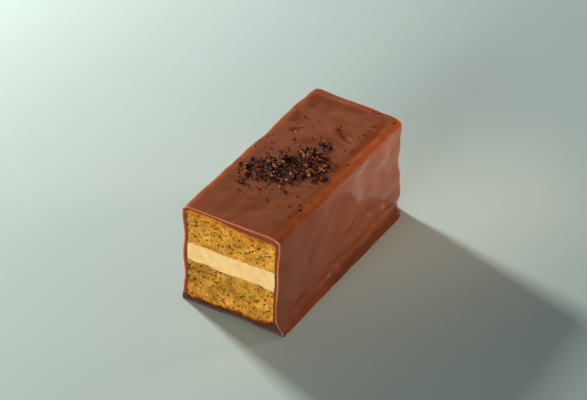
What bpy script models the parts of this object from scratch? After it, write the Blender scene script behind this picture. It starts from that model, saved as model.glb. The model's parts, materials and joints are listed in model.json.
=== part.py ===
"""Cappuccino cream slice: two sponge layers round a coffee cream layer, enrobed in milk chocolate.

The slice is a bar of cake with one cut end. The cut faces -Y, the chocolate wraps the other five sides,
and a drift of ground cocoa crumbs lies across the top. +Z is up, and the origin is the centre of the base.
Lengths are in metres.
"""

import math
import random

import bmesh
import bpy
from mathutils import Euler, Matrix, Vector, noise

MM = 0.001

# The slice as a whole
LENGTH = 91.0 * MM
WIDTH = 39.8 * MM
HEIGHT = 42.0 * MM
EDGE_RADIUS = 1.3 * MM
FOOT_EDGE = 0.5 * MM
RIGHT_LEAN = 0.9 * MM
RIM_LIP = 0.2 * MM

# The foot is the skirt of chocolate that ran down and set round the base
RIGHT_FOOT = 3.9 * MM
LEFT_FOOT = 0.8 * MM
BACK_FOOT = 0.9 * MM
FOOT_HEIGHT = 5.0 * MM
FOOT_SPREAD = 0.12

# The block of cake is set off centre, so that the base with its feet is centred on the origin
BLOCK_X = -0.8 * MM
CUT_Y = -(LENGTH + BACK_FOOT) / 2
BACK_Y = CUT_Y + LENGTH

# Thickness of the chocolate
LEFT_COAT = 1.5 * MM
RIGHT_COAT = 1.7 * MM
BACK_COAT = 1.6 * MM
BASE_COAT = 1.3 * MM
TOP_COAT = 1.5 * MM
CORNER_POOL = 2.4 * MM

# Levels of the cream layer, and the clearance between neighbouring solids
CREAM_LOW = 18.6 * MM
CREAM_HIGH = 26.3 * MM
CLEARANCE = 0.3 * MM

# Relief
WALL_WAVE = 0.35 * MM
WALL_PERIOD = 17.3 * MM
LONG_WAVE = 0.2 * MM
LONG_PERIOD = 22.5 * MM
LEFT_TAPER = 0.7 * MM
RIPPLE = 0.45 * MM
TOP_SWELL = 0.35 * MM
SHOULDER_WIDTH = 5.6 * MM
SHOULDER_DROP = 1.4 * MM
BACK_ROLL_LENGTH = 5.5 * MM
BACK_ROLL_DROP = 0.7 * MM
BACK_CORNER = 3.0 * MM
CORNER_INSET = 1.4 * MM
BACK_SLANT = 0.025
PORE_DEPTH = 0.8 * MM
PORE_SPACING = 2.4 * MM

# Crumbs. Each drift is its centre (x, y) on the top, its half length and half width, and its turn in degrees
CRUMB_SEED = 13
CRUMB_COUNT = 150
CRUMB_LARGEST = 1.25 * MM
CRUMB_SMALLEST = 0.5 * MM
HEAP_HEIGHT = 0.7 * MM
DRIFTS = (
    (-8.2 * MM, -12.5 * MM, 8.2 * MM, 7.6 * MM, 20),
    (-1.0 * MM, -8.0 * MM, 8.8 * MM, 9.2 * MM, 35),
    (4.2 * MM, -2.0 * MM, 9.0 * MM, 8.0 * MM, 35),
    (9.3 * MM, -5.2 * MM, 4.6 * MM, 4.6 * MM, 0),
    (3.0 * MM, 11.0 * MM, 3.6 * MM, 2.4 * MM, 30),
    (-10.6 * MM, -23.0 * MM, 2.0 * MM, 1.2 * MM, 0),
    (4.4 * MM, -19.4 * MM, 1.6 * MM, 1.4 * MM, 0),
)

MILK_CHOCOLATE = (0.190, 0.068, 0.034, 1.0)
SPONGE = (0.520, 0.270, 0.070, 1.0)
COFFEE_CREAM = (0.790, 0.520, 0.230, 1.0)


def smooth(value):
    """0 below 0, 1 above 1, and a smooth step between."""
    t = min(max(value, 0.0), 1.0)
    return t * t * (3 - 2 * t)


def wobble(x, y, z, seed):
    """Smooth noise from about -1 to 1."""
    return noise.noise(Vector((x, y, z + 17.3 * seed))) * 1.4


def slump(side, y, z):
    """The slow waves of a long wall, where the chocolate sagged over the cake."""
    from_cut = y - CUT_Y
    drift = 0.25 * from_cut * wobble(y / (30 * MM), 0, 0, 20 + side)
    down = math.cos(2 * math.pi * (z - 3.5 * MM + drift) / WALL_PERIOD)
    along = math.cos(2 * math.pi * (from_cut - 34 * MM + 0.15 * z) / LONG_PERIOD)
    if side > 0:
        return 0.4 * WALL_WAVE * down + 0.8 * LONG_WAVE * along
    taper = LEFT_TAPER * smooth((from_cut - 15 * MM) / (70 * MM))
    return WALL_WAVE * down + LONG_WAVE * along - taper


def wall_wave(side, y, z):
    """How far a long wall bulges at this place: the slump, crossed by blown ripples."""
    ripple = wobble((y + 0.9 * z) / (14 * MM), (z - 0.25 * y) / (6.5 * MM), 0, 30 + side)
    calm = 0.2 + 0.8 * smooth((y - CUT_Y) / (30 * MM))
    return slump(side, y, z) + RIPPLE * calm * ripple


def heap(x, y):
    """1 in the middle of the crumb drifts and 0 away from them."""
    cover = 0.0
    for centre_x, centre_y, half_length, half_width, turn in DRIFTS:
        angle = math.radians(turn)
        dx = x - centre_x
        dy = y - centre_y
        along = (dx * math.cos(angle) + dy * math.sin(angle)) / half_length
        across = (dy * math.cos(angle) - dx * math.sin(angle)) / half_width
        cover = max(cover, 1.25 - math.hypot(along, across))
    return smooth(cover)


def top_shift(x, y):
    """Height of the top over its nominal plane: swells, right shoulder, rolled back edge, groove and heap."""
    liveliness = 0.35 + 0.65 * smooth((y + 5 * MM) / (20 * MM))
    swell = TOP_SWELL * liveliness * wobble(x / (11 * MM), y / (15 * MM), 0, 5)
    shoulder = SHOULDER_DROP * max(0.0, (x - WIDTH / 2 + SHOULDER_WIDTH) / SHOULDER_WIDTH) ** 2
    roll = BACK_ROLL_DROP * max(0.0, (y - BACK_Y + BACK_ROLL_LENGTH) / BACK_ROLL_LENGTH) ** 2
    groove = 0.3 * MM * math.exp(-(((x - 14.8 * MM) / (1.4 * MM)) ** 2)) * smooth((y - 5 * MM) / (20 * MM))
    return swell - shoulder - roll - groove + HEAP_HEIGHT * heap(x, y)


def foot(z):
    """Share of the foot's reach at this height."""
    return max(0.0, 1 - z / FOOT_HEIGHT) ** 1.25


def base_lift(x, y):
    """The base is slightly hollow under the middle of the cut edge."""
    middle = math.exp(-(((x - 3 * MM) / (7 * MM)) ** 2)) * smooth((17 * MM - abs(x)) / (6 * MM))
    return 0.7 * MM * middle * smooth(1 - (y - CUT_Y) / (9 * MM))


def stations(low, high, edge, cells):
    """Grid lines from low to high, with close ones in the rounded edges."""
    inner = [low + edge + (high - low - 2 * edge) * i / cells for i in range(cells + 1)]
    return [low, low + edge / 2, *inner, high - edge / 2, high]


def grid_box(across, along, up):
    """A box whose grid lines lie at the given stations on X, Y and Z."""
    bm = bmesh.new()
    bmesh.ops.create_cube(bm, size=1.0)
    lines = (across, along, up)
    for axis, places in enumerate(lines):
        edges = [e for e in bm.edges if abs((e.verts[0].co - e.verts[1].co)[axis]) > 0.5]
        bmesh.ops.subdivide_edges(bm, edges=edges, cuts=len(places) - 2, use_grid_fill=True)
    for vert in bm.verts:
        for axis, places in enumerate(lines):
            vert.co[axis] = places[round((vert.co[axis] + 0.5) * (len(places) - 1))]
    return bm


def rounded(point, low, high, base_radius):
    """Rounds every edge of the box from low to high, apart from those of its front face."""
    radius = base_radius if point.z < low.z + base_radius else EDGE_RADIUS
    inner = Vector(
        (
            min(max(point.x, low.x + radius), high.x - radius),
            min(point.y, high.y - radius),
            min(max(point.z, low.z + radius), high.z - radius),
        )
    )
    away = point - inner
    reach = max(abs(away.x), abs(away.y), abs(away.z))
    return inner + away.normalized() * reach


def place(name, bm, colour, roughness, collection):
    """Makes the mesh an object of that name, with its own material, standing on the block's axis."""
    mesh = bpy.data.meshes.new(name)
    bmesh.ops.recalc_face_normals(bm, faces=bm.faces)
    bm.to_mesh(mesh)
    bm.free()
    mesh.transform(Matrix.Translation((BLOCK_X, 0, 0)))
    mesh.shade_smooth()
    mesh.set_sharp_from_angle(angle=math.radians(40))
    material = bpy.data.materials.new(name)
    material.use_nodes = True
    shader = material.node_tree.nodes["Principled BSDF"]
    shader.inputs["Base Color"].default_value = colour
    shader.inputs["Roughness"].default_value = roughness
    shader.inputs["Metallic"].default_value = 0.0
    mesh.materials.append(material)
    obj = bpy.data.objects.new(name, mesh)
    collection.objects.link(obj)
    return obj


def back_corner(y):
    """How far the upright back corners are rounded in from the wall at this place along the slice."""
    turn = min(max((y - BACK_Y + BACK_CORNER) / BACK_CORNER, 0.0), 1.0)
    return CORNER_INSET * (1 - math.sqrt(1 - turn * turn))


def coating_point(point):
    """Where a point of the plain box lies on the chocolate's outer surface."""
    low = Vector((-WIDTH / 2, CUT_Y, 0))
    high = Vector((WIDTH / 2, BACK_Y, HEIGHT))
    p = rounded(point, low, high, FOOT_EDGE)
    side = 1 if p.x > 0 else -1
    near_wall = max(0.0, (abs(p.x) - WIDTH / 2 + 5 * MM) / (5 * MM)) ** 2
    near_back = max(0.0, (p.y - BACK_Y + 5 * MM) / (5 * MM)) ** 2
    near_top = max(0.0, (p.z - HEIGHT + 8 * MM) / (8 * MM)) ** 2
    reach = RIGHT_FOOT if side > 0 else LEFT_FOOT
    lean = RIGHT_LEAN * (1 - p.z / HEIGHT) if side > 0 else 0.0
    wave = wall_wave(side, p.y, p.z) * (0.3 + 0.7 * smooth(p.z / (6 * MM)))
    uneven_foot = 0.96 + 0.05 * wobble(p.y / (12 * MM), 0, 0, 7) + FOOT_SPREAD * (p.y - CUT_Y) / LENGTH
    corner = back_corner(p.y)
    lip = RIM_LIP * max(0.0, 1 - (p.y - CUT_Y) / EDGE_RADIUS)
    outward = wave - lean + reach * uneven_foot * foot(p.z) + lip - corner
    back_wave = 0.6 * MM * wobble(p.x / (9 * MM), 0, p.z / (7 * MM), 9)
    lift = base_lift(p.x, p.y) * max(0.0, 1 - p.z / (4 * MM))
    return Vector(
        (
            p.x + side * near_wall * outward,
            p.y + near_back * (back_wave * smooth(p.z / (6 * MM)) + BACK_FOOT * foot(p.z) - BACK_SLANT * p.x),
            p.z + near_top * (top_shift(p.x, p.y) + lip) + lift,
        )
    )


CORE_LOW = Vector((-WIDTH / 2 + LEFT_COAT, CUT_Y, BASE_COAT))
CORE_HIGH = Vector((WIDTH / 2 - RIGHT_COAT, BACK_Y - BACK_COAT, HEIGHT - TOP_COAT))


def floor_shift(x, y):
    """The chocolate under the cake is thick where it pooled in the right corner."""
    pool = CORNER_POOL * smooth((x - 11 * MM) / (8 * MM))
    return pool + 0.8 * base_lift(x, y) + 0.3 * MM * wobble(x / (7 * MM), y / (80 * MM), 0, 3)


def ceiling_shift(x, y):
    """The chocolate over the cake thickens towards the right."""
    thin_to_thick = 0.4 * MM - 1.4 * MM * smooth((x + 8 * MM) / (12 * MM))
    roll = 1.3 * MM * max(0.0, (y - BACK_Y + 8 * MM) / (8 * MM)) ** 2
    return thin_to_thick - roll


def cream_low_shift(x, y):
    """Waves where the cream rests on the lower sponge."""
    return 0.5 * MM * wobble(x / (5.5 * MM), y / (80 * MM), 0, 12)


def cream_high_shift(x, y):
    """Waves where the upper sponge rests on the cream."""
    return 0.5 * MM * wobble(x / (5.5 * MM), y / (80 * MM), 0, 13) + 0.5 * MM * x / WIDTH


def core_x(p):
    """The cake's long walls follow the slow waves of the chocolate."""
    side = 1 if p.x > 0 else -1
    near_wall = max(0.0, (abs(p.x) - WIDTH / 2 + 8 * MM) / (8 * MM)) ** 2
    lean = RIGHT_LEAN * (1 - p.z / HEIGHT) if side > 0 else 0.0
    return p.x + side * near_wall * (0.6 * slump(side, p.y, p.z) - lean - back_corner(p.y))


def layer(low, high, low_shift, high_shift, inset, rows, front):
    """A slab of the cake's core between two levels, with its walls set in from the core's."""
    start = Vector((CORE_LOW.x + inset, front, low))
    end = Vector((CORE_HIGH.x - inset, CORE_HIGH.y - inset, high))
    middle = [CUT_Y + place for place in (1.5 * MM, 18 * MM, 36 * MM, 54 * MM, 72 * MM)]
    along = [start.y, *middle, end.y - EDGE_RADIUS, end.y - EDGE_RADIUS / 2, end.y]
    across = stations(start.x, end.x, EDGE_RADIUS, 12)
    up = [low + (high - low) * i / rows for i in range(rows + 1)]
    bm = grid_box(across, along, up)
    box_low = Vector((start.x, start.y, CORE_LOW.z + inset))
    box_high = Vector((end.x, end.y, CORE_HIGH.z - inset))
    for vert in bm.verts:
        share = (vert.co.z - low) / (high - low)
        p = rounded(vert.co, box_low, box_high, EDGE_RADIUS)
        shift = (1 - share) * low_shift(p.x, p.y) + share * high_shift(p.x, p.y)
        vert.co = Vector((core_x(p), p.y, p.z + shift))
    return bm


def is_upright(edge):
    """Whether an edge of the cut face rises more than it runs."""
    run = edge.verts[0].co - edge.verts[1].co
    return abs(run.z) > abs(run.x)


def pore_relief(bm, seed):
    """Presses the open pores of the crumb into the cut face, on a finer grid than the rest."""
    for cuts, upright in ((1, False), (2, True)):
        edges = [e for e in bm.edges if max(v.co.y for v in e.verts) < CUT_Y + 0.5 * MM]
        edges = [e for e in edges if is_upright(e) == upright]
        bmesh.ops.subdivide_edges(bm, edges=edges, cuts=cuts, use_grid_fill=True)
    for vert in bm.verts:
        if vert.co.y > CUT_Y + 0.5 * MM:
            continue
        x, z = vert.co.x / PORE_SPACING, vert.co.z / PORE_SPACING
        pores = smooth(0.9 * wobble(x, 0, 1.3 * z, seed))
        grain = 0.35 * smooth(0.5 + wobble(2.3 * x, 0, 2.3 * z, seed + 1))
        vert.co.y += PORE_DEPTH * min(1.0, pores + grain)


def crumb(size, rng):
    """One broken crumb: a block with uneven corners."""
    bm = bmesh.new()
    bmesh.ops.create_cube(bm, size=1.4)
    stretch = (rng.uniform(0.9, 1.35), rng.uniform(0.7, 1.0), rng.uniform(0.6, 0.9))
    for vert in bm.verts:
        vert.co = Vector([size * s * (c + rng.uniform(-0.25, 0.25)) for s, c in zip(stretch, vert.co)])
    bmesh.ops.triangulate(bm, faces=bm.faces)
    turn = Euler((rng.uniform(-0.5, 0.5), rng.uniform(-0.5, 0.5), rng.uniform(0, 2 * math.pi)))
    bmesh.ops.transform(bm, matrix=turn.to_matrix().to_4x4(), verts=bm.verts)
    return bm


def crumb_places(rng):
    """Spots for the crumbs, the largest first, thick in the drifts and thin round them."""
    places = []
    while len(places) < CRUMB_COUNT:
        size = CRUMB_LARGEST - (CRUMB_LARGEST - CRUMB_SMALLEST) * (len(places) / CRUMB_COUNT) ** 0.7
        x = rng.uniform(-WIDTH / 2 + 3 * MM, WIDTH / 2 - 5.5 * MM)
        y = rng.uniform(-28 * MM, 36 * MM)
        spill = 0.04 if size < 0.8 * MM else 0.0
        if rng.random() > heap(x, y) + spill:
            continue
        if any(math.hypot(x - px, y - py) < 0.85 * (size + ps) for px, py, ps in places):
            continue
        places.append((x, y, size))
    return places


def join_crumbs(coating, cutters):
    """Fuses the crumbs to the chocolate that they lie on."""
    rng = random.Random(CRUMB_SEED)
    for number, (x, y, size) in enumerate(crumb_places(rng)):
        mesh = bpy.data.meshes.new(f"crumb_{number}")
        bm = crumb(size, rng)
        bm.to_mesh(mesh)
        bm.free()
        top = HEIGHT + top_shift(x, y)
        obj = bpy.data.objects.new(f"crumb_{number}", mesh)
        obj.location = (x + BLOCK_X, y, top + 0.28 * size)
        cutters.objects.link(obj)
    bpy.context.view_layer.update()
    union = coating.modifiers.new("crumbs", "BOOLEAN")
    union.operation = "UNION"
    union.operand_type = "COLLECTION"
    union.collection = cutters
    union.solver = "MANIFOLD"
    apply_modifiers(coating)
    keep_main_shell(coating)
    for obj in list(cutters.objects):
        bpy.data.objects.remove(obj)


def apply_modifiers(obj):
    """Replaces the object's mesh with what its modifiers make of it."""
    graph = bpy.context.evaluated_depsgraph_get()
    made = bpy.data.meshes.new_from_object(obj.evaluated_get(graph))
    obj.modifiers.clear()
    obj.data = made


def keep_main_shell(obj):
    """Drops every scrap, and fills every sealed hollow, by keeping only the largest connected surface."""
    bm = bmesh.new()
    bm.from_mesh(obj.data)
    shells = []
    waiting = set(bm.verts)
    while waiting:
        shell = {waiting.pop()}
        frontier = list(shell)
        while frontier:
            found = {vert for edge in frontier.pop().link_edges for vert in edge.verts} & waiting
            waiting -= found
            shell |= found
            frontier += found
        shells.append(shell)
    largest = max(shells, key=len)
    spare = [vert for vert in bm.verts if vert not in largest]
    bmesh.ops.delete(bm, geom=spare, context="VERTS")
    bm.to_mesh(obj.data)
    bm.free()


def hollow(coating, cutters):
    """Cuts the room for the cake out of the chocolate, through the cut end."""
    bm = layer(CORE_LOW.z, CORE_HIGH.z, floor_shift, ceiling_shift, 0.0, 10, CUT_Y - 3 * MM)
    cavity = place("cavity", bm, MILK_CHOCOLATE, 0.5, cutters)
    cavity.hide_render = True
    cavity.display_type = "WIRE"
    cut = coating.modifiers.new("room for the cake", "BOOLEAN")
    cut.operation = "DIFFERENCE"
    cut.object = cavity
    cut.solver = "EXACT"
    apply_modifiers(coating)
    bpy.data.objects.remove(cavity)


def main():
    for obj in list(bpy.data.objects):
        bpy.data.objects.remove(obj)
    parts = bpy.data.collections.new("cappuccino cream slice")
    cutters = bpy.data.collections.new("cutters")
    bpy.context.scene.collection.children.link(parts)
    bpy.context.scene.collection.children.link(cutters)

    bm = grid_box(
        stations(-WIDTH / 2, WIDTH / 2, EDGE_RADIUS, 10),
        stations(CUT_Y, BACK_Y, EDGE_RADIUS, 22),
        [0.0, FOOT_EDGE / 2, *stations(FOOT_EDGE, HEIGHT, EDGE_RADIUS, 12)],
    )
    for vert in bm.verts:
        vert.co = coating_point(vert.co)
    flat = [f for f in bm.faces if all(v.co.z < 0.01 * MM for v in f.verts)]
    bmesh.ops.dissolve_faces(bm, faces=flat, use_verts=True)
    coating = place("chocolate_coating", bm, MILK_CHOCOLATE, 0.3, parts)
    hollow(coating, cutters)
    join_crumbs(coating, cutters)

    gap = CLEARANCE
    low, high = CORE_LOW.z + gap, CREAM_LOW - gap / 2
    lower = layer(low, high, floor_shift, cream_low_shift, gap, 5, CUT_Y)
    pore_relief(lower, 40)
    place("lower_sponge", lower, SPONGE, 0.9, parts)

    low, high = CREAM_LOW + gap / 2, CREAM_HIGH - gap / 2
    cream = layer(low, high, cream_low_shift, cream_high_shift, gap, 2, CUT_Y)
    place("coffee_cream", cream, COFFEE_CREAM, 0.5, parts)

    low, high = CREAM_HIGH + gap / 2, CORE_HIGH.z - gap
    upper = layer(low, high, cream_high_shift, ceiling_shift, gap, 4, CUT_Y)
    pore_relief(upper, 60)
    place("upper_sponge", upper, SPONGE, 0.9, parts)


main()
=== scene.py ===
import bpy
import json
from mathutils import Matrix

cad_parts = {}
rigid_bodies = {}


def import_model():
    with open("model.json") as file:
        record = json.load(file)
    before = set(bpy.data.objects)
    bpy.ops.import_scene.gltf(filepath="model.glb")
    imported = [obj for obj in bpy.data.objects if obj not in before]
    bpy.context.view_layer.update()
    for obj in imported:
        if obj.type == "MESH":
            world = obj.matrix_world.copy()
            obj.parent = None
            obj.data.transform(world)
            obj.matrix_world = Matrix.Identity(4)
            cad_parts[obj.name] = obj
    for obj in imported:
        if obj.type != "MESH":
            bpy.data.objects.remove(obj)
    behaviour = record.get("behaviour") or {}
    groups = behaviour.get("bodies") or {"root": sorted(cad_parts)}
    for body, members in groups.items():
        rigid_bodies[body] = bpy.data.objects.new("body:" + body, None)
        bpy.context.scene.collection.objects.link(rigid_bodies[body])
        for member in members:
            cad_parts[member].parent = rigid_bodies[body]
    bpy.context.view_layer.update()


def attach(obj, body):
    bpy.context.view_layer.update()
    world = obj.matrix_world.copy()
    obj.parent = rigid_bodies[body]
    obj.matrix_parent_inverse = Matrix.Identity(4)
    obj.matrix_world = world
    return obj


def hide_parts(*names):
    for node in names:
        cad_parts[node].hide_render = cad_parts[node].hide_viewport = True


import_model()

# %% [markdown]
# # A cappuccino cream slice
# The real thing is a bar of cake: golden sponge, a band of coffee cream, more sponge, and milk chocolate poured
# over all of it. One end is cut off, so the layers show, and ground cocoa nibs were dropped across the top.
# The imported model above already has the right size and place. What follows makes each piece again with the
# surface that the eye sees, and hands it back in place of the plain solid.

# %% Tools and units
import json
import math
import random

import bmesh
import bpy
import numpy as np
from mathutils import Matrix, Vector, noise

MM = 0.001
rng = random.Random(7)


def smooth(value):
    """0 below 0, 1 above 1, and a smooth step between."""
    t = min(max(value, 0.0), 1.0)
    return t * t * (3 - 2 * t)


def wobble(x, y, z, seed):
    """Smooth noise from about -1 to 1."""
    return noise.noise(Vector((x, y, z + 17.3 * seed))) * 1.4


def turned(dx, dy, angle):
    """How far an offset reaches along and across an oval that is turned by this angle."""
    cos, sin = math.cos(angle), math.sin(angle)
    return dx * cos + dy * sin, dy * cos - dx * sin


def mesh_from(name, bm):
    """Turns a bmesh into a mesh of that name."""
    mesh = bpy.data.meshes.new(name)
    bm.to_mesh(mesh)
    bm.free()
    return mesh


def linked(name, data):
    """A new object around this data, linked to the scene."""
    obj = bpy.data.objects.new(name, data)
    bpy.context.scene.collection.objects.link(obj)
    return obj


# %% [markdown]
# ## Camera
# The photograph looks down on the slice from its right front, from nearly a metre away through a long lens.
# Solving for the block's corners gave where the camera stood, so it is placed by numbers and not by eye.
# A camera looks along its own -Z, so the matrix has its right, its up and the reverse of its view as columns.

# %% Camera at the photograph's place
CAMERA_AT = Vector((0.35629, -0.62441, 0.54932))
AZIMUTH, ELEVATION, ROLL = math.radians(-29.86), math.radians(36.16), math.radians(1.44)

level_share = math.cos(ELEVATION)
forward = Vector((math.sin(AZIMUTH) * level_share, math.cos(AZIMUTH) * level_share, -math.sin(ELEVATION)))
level = forward.cross(Vector((0, 0, 1))).normalized()
upright = level.cross(forward)
right = math.cos(ROLL) * level + math.sin(ROLL) * upright
up = -math.sin(ROLL) * level + math.cos(ROLL) * upright

camera = linked("camera", bpy.data.cameras.new("camera"))
camera.data.lens = 148.05
camera.data.sensor_width = 36.0
camera.data.clip_start = 0.01
camera.matrix_world = Matrix.Translation(CAMERA_AT) @ Matrix((right, up, -forward)).transposed().to_4x4()
bpy.context.scene.camera = camera
print("camera", [round(v, 3) for v in camera.location], "distance", round(CAMERA_AT.length, 3))

# %% [markdown]
# ## The form of the slice
# Every piece follows the same few rules, so the rules are written once. The block is a box with rounded edges.
# Its walls lean and ripple where the chocolate ran, a foot of set chocolate spreads round its base, and the
# top sinks a little towards its right shoulder and rolls over at the back. The main sizes are those that the
# solids were made from, so each piece lies where its solid does. The ripples, the foot behind the cut and the
# low relief of the top are finer here than in the solids.

# %% Named sizes
LENGTH, WIDTH, HEIGHT = 91.0 * MM, 39.8 * MM, 42.0 * MM
EDGE_RADIUS, FOOT_EDGE = 1.3 * MM, 0.5 * MM
RIGHT_LEAN = 0.9 * MM
RIGHT_FOOT, LEFT_FOOT, BACK_FOOT, FOOT_HEIGHT = 3.9 * MM, 0.8 * MM, 0.9 * MM, 5.0 * MM
BLOCK_X = -0.8 * MM
CUT_Y = -(LENGTH + BACK_FOOT) / 2
BACK_Y = CUT_Y + LENGTH
CORE_LOW = Vector((-WIDTH / 2 + 1.5 * MM, CUT_Y, 1.3 * MM))
CORE_HIGH = Vector((WIDTH / 2 - 1.7 * MM, BACK_Y - 1.6 * MM, HEIGHT - 1.5 * MM))
CREAM_LOW, CREAM_HIGH = 18.6 * MM, 26.3 * MM
SHOULDER_WIDTH, SHOULDER_DROP = 5.6 * MM, 1.4 * MM
BACK_ROLL_LENGTH, BACK_ROLL_DROP = 5.5 * MM, 0.7 * MM
BACK_CORNER, CORNER_INSET = 3.0 * MM, 1.4 * MM
RIPPLE, FINE_RIPPLE = 0.36 * MM, 0.07 * MM
# The rolled left edge of the top, and the curved groove and the low ridge at its right and back
LEFT_ROLL_FROM, LEFT_ROLL_WIDTH, LEFT_ROLL_DROP = -15.9 * MM, 4.0 * MM, 0.70 * MM
GROOVE_X, GROOVE_BACK, GROOVE_RADIUS = 8.2 * MM, 10.2 * MM, 7.8 * MM
GROOVE_WIDTH, GROOVE_DEPTH = 1.3 * MM, 0.60 * MM
RIDGE_BACK, RIDGE_WIDTH, RIDGE_HEIGHT = 4.8 * MM, 1.3 * MM, 0.40 * MM

# Each drift of crumbs, in millimetres: its centre (x, y) on the top, half length, half width, turn in degrees
DRIFTS = (
    (-8.2, -12.5, 8.2, 7.6, 20),
    (-1.0, -8.0, 8.8, 9.2, 35),
    (4.2, -2.0, 9.0, 8.0, 35),
    (10.0, -5.8, 5.2, 5.0, 0),
    (3.0, 6.0, 7.0, 3.4, 10),
    (4.4, 12.4, 4.6, 2.4, -48),
    (-10.6, -23.0, 2.0, 1.2, 0),
    (4.4, -19.4, 2.3, 1.8, 0),
)

# Dents in the right wall, in millimetres: distance from the cut, height, half length, half height, depth.
# A negative depth is a bulge
DENTS = (
    (21.0, 20.5, 5.0, 3.4, 0.42),
    (31.0, 27.0, 6.0, 3.0, 0.24),
    (27.0, 34.0, 4.0, 2.6, 0.20),
    (46.0, 14.0, 5.0, 3.4, 0.22),
    (54.0, 10.5, 4.0, 3.0, 0.30),
    (52.0, 26.0, 4.0, 3.0, 0.22),
    (62.0, 24.5, 5.5, 3.4, 0.26),
    (68.5, 12.0, 4.5, 3.0, 0.48),
    (60.0, 35.0, 7.0, 3.4, 0.24),
    (74.0, 24.0, 5.0, 3.0, 0.32),
    (79.0, 9.0, 4.0, 2.8, 0.25),
    (82.0, 32.0, 4.5, 3.4, 0.28),
    (90.0, 7.0, 12.0, 7.0, -1.3),
    (12.0, 11.0, 5.0, 3.4, 0.20),
    (36.0, 7.0, 6.0, 2.6, 0.18),
    (88.0, 14.0, 15.0, 10.0, -1.4),
)

# Hollows in the top, the same way: distance from the cut, x, half length, half width, turn in degrees, depth.
# A negative depth is a swell
HOLLOWS = (
    (62.3, -10.0, 4.0, 2.6, 20, 0.85),
    (67.3, 7.8, 7.5, 2.2, -29, 1.05),
    (64.4, 4.6, 7.5, 2.2, -29, -0.50),
    (57.0, -2.0, 5.0, 4.0, 0, 0.25),
    (68.0, -13.5, 3.5, 2.5, 0, 0.35),
    (74.5, 1.0, 6.5, 3.0, -10, 0.35),
    (78.8, 13.6, 2.2, 1.6, 0, 0.45),
    (76.0, 13.0, 2.5, 2.0, 0, -0.25),
    (81.0, -1.0, 9.0, 4.0, 0, 0.20),
    (84.0, -17.0, 3.0, 3.0, 0, -0.25),
    (72.0, -17.0, 3.0, 3.0, 30, -0.30),
    (12.0, 4.0, 7.0, 4.0, 40, 0.25),
)

# How much further the top of the left wall bulges at each distance from the cut, in millimetres
LEFT_BULGES = (
    (0, 0.0), (6, 0.5), (12, 0.8), (18, 0.5), (24, 0.1), (32, -0.2), (40, 0.3), (48, 0.6), (54, 0.4), (60, 1.1),
    (66, 0.7), (72, 0.0), (78, 0.5), (84, 0.1), (92, 0.0),
)
places, bulges = np.transpose(LEFT_BULGES)
left_profile = np.convolve(np.interp(np.arange(-6, 100), places, bulges), [0.1, 0.25, 0.3, 0.25, 0.1], "same")
print("left wall bulges in mm", left_profile[6:97:10].round(2))

# %% [markdown]
# The long walls carry two scales of relief. Slow waves, about 17 mm from crest to crest down the wall and
# 22 mm along it, are where the coat sagged. Ripples of 3 to 14 mm cross them, left by the air that blows the
# spare chocolate off. The dents are the places where the photograph shows a dark crescent with a bright lip.


# %% Relief of the long walls
def slump(side, y, z):
    """The slow waves of a long wall, where the chocolate sagged over the cake."""
    from_cut = y - CUT_Y
    drift = 0.25 * from_cut * wobble(y / (30 * MM), 0, 0, 20 + side)
    down = math.cos(2 * math.pi * (z - 3.5 * MM + drift) / (17.3 * MM))
    along = math.cos(2 * math.pi * (from_cut - 34 * MM + 0.15 * z) / (22.5 * MM))
    if side > 0:
        return 0.14 * MM * down + 0.16 * MM * along
    taper = 0.7 * MM * smooth((from_cut - 15 * MM) / (70 * MM))
    return 0.35 * MM * down + 0.20 * MM * along - taper


def wall_wave(side, y, z):
    """How far a long wall bulges at this place: the slump, the ripples, and on the right the dents."""
    ripple = wobble((y + 0.9 * z) / (14 * MM), (z - 0.25 * y) / (7.5 * MM), 0, 30 + side)
    fine = wobble((y + 0.5 * z) / (5.5 * MM), (z - 0.4 * y) / (3.2 * MM), 0, 33 + side)
    calm = 0.2 + 0.8 * smooth((y - CUT_Y) / (30 * MM))
    wave = slump(side, y, z) + RIPPLE * calm * ripple + FINE_RIPPLE * calm * fine
    if side > 0:
        for dent_y, dent_z, half_y, half_z, depth in DENTS:
            along = ((y - CUT_Y) / MM - dent_y) / half_y
            down = (z / MM - dent_z + 0.2 * ((y - CUT_Y) / MM - dent_y)) / half_z
            reach = along * along + down * down
            if reach < 1:
                wave -= depth * MM * (1 - reach) ** 2
    else:
        wave += float(np.interp((y - CUT_Y) / MM, np.arange(-6, 100), left_profile)) * MM * smooth(z / (30 * MM))
    return wave


def foot(z, y):
    """Share of the foot's reach at this height: a plain flare at the cut, and a hollow, uneven one behind it."""
    behind = smooth((y - CUT_Y - 3 * MM) / (14 * MM))
    height = FOOT_HEIGHT * (1 + 0.35 * behind * wobble(y / (8 * MM), 0, 0, 48))
    return max(0.0, 1 - z / height) ** (1.25 + 0.75 * behind)


def back_corner(y):
    """How far the upright back corners are rounded in from the wall at this place along the slice."""
    turn = min(max((y - BACK_Y + BACK_CORNER) / BACK_CORNER, 0.0), 1.0)
    return CORNER_INSET * (1 - math.sqrt(1 - turn * turn))


# %% [markdown]
# The top is nearly level. It has gentle swells, a shoulder that falls to the right with a groove inside it,
# a low ridge and a rolled edge at the back, and the hollows that the photograph shows. The base is flat, apart
# from a slight arch under the cut edge.


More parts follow.
